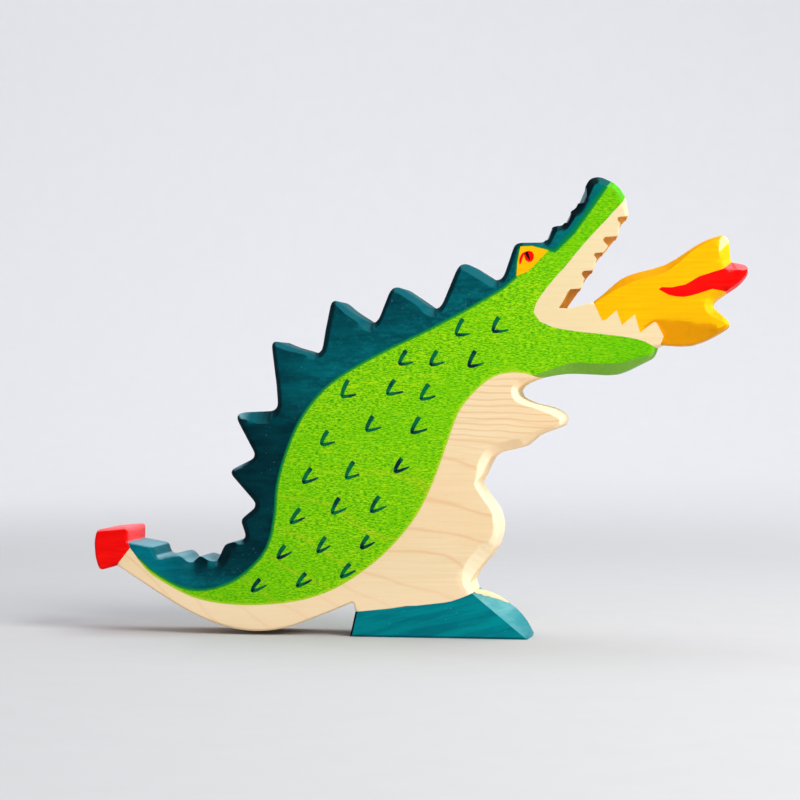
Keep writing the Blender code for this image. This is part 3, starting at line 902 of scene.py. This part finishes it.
def teal_toes(look, brush, foot):
    """The toes' facets made pale by painted light, and the heel darkened by painted shade."""
    toe = look.times(foot, look.towards((0.9, 0, 0.44), 0.15, 0.3))
    pale = look.between(brush, 0.35, 0.7, (66, 148, 156), (106, 172, 178))
    look.tint(toe, look.mix(look.along("X", 0.022, 0.034, 0.75), pale, (24, 118, 130)))
    # painted shade on the heel, which faces away from the light
    look.tint(look.times(foot, look.towards((-1, 0, 0), 0.3, 0.6)), (0, 26, 32))


def bare_maple():
    """Unfinished pale wood with growth lines, close together on the chest and far apart below."""
    look = Finish("bare_maple")
    fibre = look.noise((45, 45, 1500), detail=4.0, rough=0.6)
    pore = look.noise((420, 420, 1800), detail=2.0, shift=7.0)
    cloud = look.noise((18, 18, 30), detail=2.0, shift=3.0)
    look.colour = look.between(fibre, 0.3, 0.75, (238, 211, 167), (243, 220, 180))
    look.tint(look.span(cloud, 0.35, 0.7, 0.5), (241, 206, 157))
    lower = look.times(look.growth(0.011, 0.04, 26.0), look.along("Z", 0.09, 0.06, 0.34, 0.1))
    look.tint(lower, (226, 164, 108))
    upper = look.times(look.growth(0.0025, 0.01, 6.0), look.along("Z", 0.1, 0.096, 1.0, 0.4))
    look.tint(look.times(upper, look.along("Z", 0.062, 0.078, 0.42)), (216, 164, 114))
    look.tint(look.span(pore, 0.62, 0.75, 0.15), (214, 170, 122))
    # painted light bounced up from the floor: paler towards the bottom
    look.tint(look.along("Z", 0.03, 0.01, 0.5), (255, 228, 190))
    # painted highlight on the carved facets, weaker on the upper teeth, and painted warm light bounced
    # from the floor on the faces that look down
    facet_highlight = look.times(look.near("carved", 0.02, 0.2, 0.6), look.along("Z", 0.145, 0.14, 1.0, 0.2))
    look.tint(facet_highlight, (250, 238, 206))
    look.tint(look.towards((0, 0, -1), 0.2, 0.6, 0.75), (255, 216, 166))
    # the teeth are more yellow, and the chips between them get brown painted shade, darker lower down
    look.tint(look.along("Z", 0.1, 0.115, 0.6), (229, 214, 166))
    brown = look.mix(look.along("Z", 0.15, 0.12), (226, 172, 70), (196, 134, 44))
    brown = look.mix(look.span(fibre, 0.35, 0.7, 0.4), brown, (178, 112, 30))
    look.tint(look.near("chip", 0.05, 0.5), brown)
    return look.done(fibre, 0.68, 0.55, [(fibre, 0.12, 0.0001), (pore, 0.1, 0.00008)])


def yellow_stain():
    """Golden stain of the flame and the eyes."""
    look = Finish("yellow_stain")
    fibre = look.noise((50, 50, 1000), detail=4.0, rough=0.6, shift=1.0)
    cloud = look.noise((60, 60, 110), detail=2.0, shift=6.0)
    look.colour = look.between(fibre, 0.35, 0.7, (239, 177, 0), (243, 193, 0))
    look.tint(look.span(cloud, 0.35, 0.7, 0.4), (240, 174, 0))
    # painted light and shade on the facets: brown-gold shade on those facing down and up to the left,
    # painted light on those facing right, and a painted highlight palest at the upper tip
    cut = look.near("carved", 0.01, 0.1)
    below = look.times(look.towards((-0.2, 0, -0.98), 0.1, 0.2), look.along("Z", 0.12, 0.116, 0.85))
    look.tint(look.times(cut, below), (230, 147, 0))
    above = look.towards((-0.5, 0, 0.86), 0.25, 0.45, 0.8)
    look.tint(look.times(cut, above), (218, 146, 6))
    front = look.times(cut, look.towards((1, 0, 0.1), 0.3, 0.6))
    look.tint(look.times(front, 0.5), (246, 204, 20))
    slant = look.math("SUBTRACT", look.axis("X"), look.axis("Z"))
    look.tint(look.times(front, look.span(slant, -0.0382, -0.039, 0.85)), (255, 240, 170))
    return look.done(fibre, 0.55, 0.42, [(fibre, 0.2, 0.0001)])


def red_stain():
    """Red stain of the flame's tongue, the tail tip and the irises."""
    look = Finish("red_stain")
    fibre = look.noise((70, 70, 800), detail=4.0, rough=0.6, shift=2.0)
    look.colour = look.between(fibre, 0.35, 0.7, (240, 2, 2), (252, 16, 8))
    # painted light: carved facets that look up are pinker, and faces that look right a brighter red
    lit = look.towards((0.35, 0, 0.94), 0.2, 0.5, 0.8)
    look.tint(look.times(look.near("carved", 0.02, 0.2), lit), (255, 114, 120))
    look.tint(look.towards((1, 0, 0), 0.6, 0.95, 0.3), (255, 50, 48))
    return look.done(fibre, 0.5, 0.38, [(fibre, 0.2, 0.0001)])


def dark_paint():
    """The scale marks' paint, uneven from navy to bottle green."""
    look = Finish("dark_paint")
    wash = look.noise((160, 160, 160), detail=2.0, shift=4.0)
    look.colour = look.between(wash, 0.36, 0.58, (0, 42, 50), (0, 104, 58))
    return look.done(wash, 0.5, 0.4, [(wash, 0.2, 0.00005)])


def black_paint():
    """The pupils' paint, brownish black."""
    look = Finish("black_paint")
    wash = look.noise((300, 300, 300), detail=2.0)
    look.colour = look.mix(wash, (10, 4, 4), (44, 8, 6))
    return look.done(wash, 0.5, 0.4, [(wash, 0.2, 0.00005)])


def pale_floor():
    """The floor and backdrop, greyer near the toy."""
    look = Finish("pale_floor")
    weave = look.noise((60, 60, 60), detail=2.0)
    near = look.mix(weave, (180, 181, 184), (184, 185, 188))
    far = look.mix(weave, (232, 233, 237), (235, 236, 240))
    distance = look.node("VectorMath", "Value", {0: look.place}, operation="LENGTH")
    look.colour = look.mix(look.span(distance, 0.35, 1.3), near, far)
    return look.done(weave, 0.9, 0.9, [(weave, 0.05, 0.0005)])


# ---- pieces ----
def dress(piece, material, slot, *nodes):
    """Give a piece its material and its body, and hide the CAD nodes that it stands in for."""
    piece.data.materials.clear()
    piece.data.materials.append(material)
    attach(piece, "root")
    if nodes:
        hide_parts(*nodes)
    return piece


def bowed_stroke(x, z, angle, length, bow, heavy, light):
    """A slightly bowed stroke from (x, z), as wide as heavy at its start and light at its end."""
    path = []
    widths = []
    for k in range(STROKE_POINTS):
        t = k / (STROKE_POINTS - 1)
        along = t * length
        off = bow * math.sin(math.pi * t)
        path.append((x + along * math.cos(angle) - off * math.sin(angle),
                     z + along * math.sin(angle) + off * math.cos(angle)))
        full = heavy + (light - heavy) * t
        widths.append(full * min(1.0, 0.5 + 3 * min(t, 1.12 - t)))
    return stroke(path, widths)


def build_marks(half, material):
    """The V-shaped scale marks, in rows, each of two brush strokes from one corner."""
    hand = random.Random(7)
    outlines = []
    for row, spots in enumerate(MARK_ROWS):
        low = row / (len(MARK_ROWS) - 1)
        for x, z in spots:
            steep = math.radians(66 - 8 * low + hand.uniform(-4, 4))
            flat = math.radians(6 + 20 * low + hand.uniform(-4, 4))
            tall = MARK_TALL + hand.uniform(-0.6, 0.6)
            wide = MARK_WIDE + hand.uniform(-0.6, 0.6)
            outlines.append(bowed_stroke(x, z, steep, tall, 0.3, 1.25, 1.7))
            outlines.append(bowed_stroke(x, z, flat, wide, -0.2, 1.5, 0.6))
    return dress(film("scale_marks", outlines, half), material, "teal_stain")


def build_eyes(board_half, looks):
    """The eye patches, each with a red iris and a dark slit."""
    patch = slice_loops(frame["nodes"]["eye_right"], -board_half + 0.5)[0]
    for word, side in (("right", -1), ("left", 1)):
        piece = slab("eye_patch_" + word, [patch], board_half - 1.0, board_half + 0.02, (side,))
        dress(piece, looks["yellow_stain"], "yellow_stain", "eye_" + word)
    iris = [(31.0, 139.4), (31.6, 140.2), (32.8, 140.5), (34.0, 140.1), (34.6, 139.0),
            (34.5, 137.6), (33.8, 136.6), (32.7, 136.4), (31.8, 136.9), (31.3, 138.0)]
    hook = stroke([(31.4, 139.9), (30.6, 139.2), (30.0, 137.9), (29.7, 136.7), (29.6, 135.7)],
                  [0.5, 0.9, 1.0, 0.9, 0.4])
    dress(film("irises", [iris, hook], board_half + 0.03), looks["red_stain"], "red_stain")
    slit = stroke([(31.9, 140.1), (32.2, 139.2), (32.6, 138.2), (33.1, 137.1)], [1.1, 1.1, 0.8, 0.25])
    dress(film("pupils", [slit], board_half + 0.07), black_paint(), "teal_stain")


def zone_lines(board_nodes):
    """Each carved zone's outline, and the same once neighbours meet, as points with their sides."""
    raw = {name: slice_loops(board_nodes[name], NEAR_MIDDLE)[0] for name in (*ZONES, "foot")}
    loops = close_gaps(raw, "foot")
    across = neighbours(loops)
    smooth = {"teeth": 0}
    return raw, {name: resample(loops[name], across[name], smooth.get(name, SAW_SMOOTH)) for name in ZONES}


def build_board(half, looks):
    """All zones of the board, carved, and the foot and instep with softened edges."""
    nodes = frame["nodes"]
    raw, zones = zone_lines(nodes)
    board = Board(half)
    for name in ZONES:
        board.add_edge(name, *zones[name])
    board.close()
    for name, slot in ZONES.items():
        points, sides = zones[name]
        lines = {}
        for other in sorted({side for side in sides if side}):
            picks = [i for i, side in enumerate(sides) if side == other]
            lines[other] = (points[picks], points[[(i + 1) % len(points) for i in picks]])
        chips = None
        extra = []
        if name in CHIPPED:
            chips = Chips(nodes[name], half, raw[name])
            extra = chip_lines(nodes[name], raw[name], CHIPPED[name])
        if name == "back_crest":
            extra = extra + valley_lines(board)
        piece = build_zone(name, points, sides, board, lines, chips, extra)
        dress(piece, looks[slot], slot, name)
    for name, slot in (("foot", "teal_stain"), ("instep", "bare_maple")):
        mesh = nodes[name].data.copy()
        soften(mesh, SOLID_ROUNDING)
        for key, amount in PLAIN.items():
            layer = mesh.attributes.new(key, "FLOAT", "POINT")
            layer.data.foreach_set("value", [amount] * len(mesh.vertices))
        dress(place(name + "_wood", mesh), looks[slot], slot, name)


# ---- stage, light and camera ----
def build_floor(material):
    """A plain floor that bends up into a backdrop."""
    half_width, front, back, top, bend = 6.0, -6.0, 1.6, 2.2, 0.5
    profile = [(front, 0.0), (back - bend, 0.0)]
    for k in range(1, 13):
        turn = math.pi / 2 * k / 12
        profile.append((back - bend + bend * math.sin(turn), bend - bend * math.cos(turn)))
    profile.append((back, top))
    verts = []
    for y, z in profile:
        verts += [(-half_width, y, z), (half_width, y, z)]
    faces = [(2 * i, 2 * i + 1, 2 * i + 3, 2 * i + 2) for i in range(len(profile) - 1)]
    mesh = bpy.data.meshes.new("sweep")
    mesh.from_pydata(verts, [], faces)
    mesh.polygons.foreach_set("use_smooth", [True] * len(mesh.polygons))
    floor = place("sweep", mesh)
    mesh.materials.append(material)


def area_light(name, spot, target, size, power, colour=(1, 1, 1)):
    """A round soft light at a spot, turned to a target."""
    light = bpy.data.lights.new(name, "AREA")
    light.shape = "DISK"
    light.size = size
    light.energy = power
    light.color = colour
    thing = bpy.data.objects.new(name, light)
    thing.location = spot
    thing.rotation_euler = (Vector(target) - Vector(spot)).to_track_quat("-Z", "Y").to_euler()
    bpy.context.collection.objects.link(thing)


def build_light():
    """An even white room, a warm key light from the right, and soft light from above."""
    world = bpy.data.worlds.new("soft_room")
    world.use_nodes = True
    background = world.node_tree.nodes["Background"].inputs
    background["Color"].default_value = (1.0, 1.0, 1.02, 1.0)
    background["Strength"].default_value = 0.56
    bpy.context.scene.world = world
    area_light("key", (0.8, -0.5, 0.75), (0.0, 0.0, 0.08), 0.6, 14.0, (1.0, 0.98, 0.95))
    area_light("top", (0.2, 0.25, 1.0), (0.0, 0.0, 0.08), 0.9, 6.0)
    area_light("backdrop", (-0.8, 0.7, 1.6), (-0.6, 1.6, 0.7), 1.2, 5.0)
    bpy.context.scene.view_settings.view_transform = "Standard"


def build_camera():
    """The view from the right of square on, at the height of the middle of the body."""
    turn = math.radians(9.04)
    camera = bpy.data.cameras.new("camera")
    camera.lens = 99.0
    camera.sensor_width = 36.0
    camera.shift_x = -0.000625
    camera.shift_y = -0.009375
    thing = bpy.data.objects.new("camera", camera)
    thing.location = (0.1118, -0.804, 0.0893)
    thing.rotation_euler = (math.pi / 2, 0, turn)
    bpy.context.collection.objects.link(thing)
    bpy.context.scene.camera = thing


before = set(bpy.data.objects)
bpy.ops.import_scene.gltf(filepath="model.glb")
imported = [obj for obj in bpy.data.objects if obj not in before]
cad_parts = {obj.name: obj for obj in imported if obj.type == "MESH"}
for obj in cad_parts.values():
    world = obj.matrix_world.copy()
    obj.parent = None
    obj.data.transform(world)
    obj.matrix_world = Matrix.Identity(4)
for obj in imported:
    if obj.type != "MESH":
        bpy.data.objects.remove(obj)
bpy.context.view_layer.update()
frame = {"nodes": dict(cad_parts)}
looks = {make.__name__: make() for make in (lime_stain, teal_stain, bare_maple, yellow_stain, red_stain)}
board_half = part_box("body")[1].y / MM
build_board(board_half, looks)
build_marks(board_half, dark_paint())
build_eyes(board_half, looks)
build_floor(pale_floor())
build_light()
build_camera()
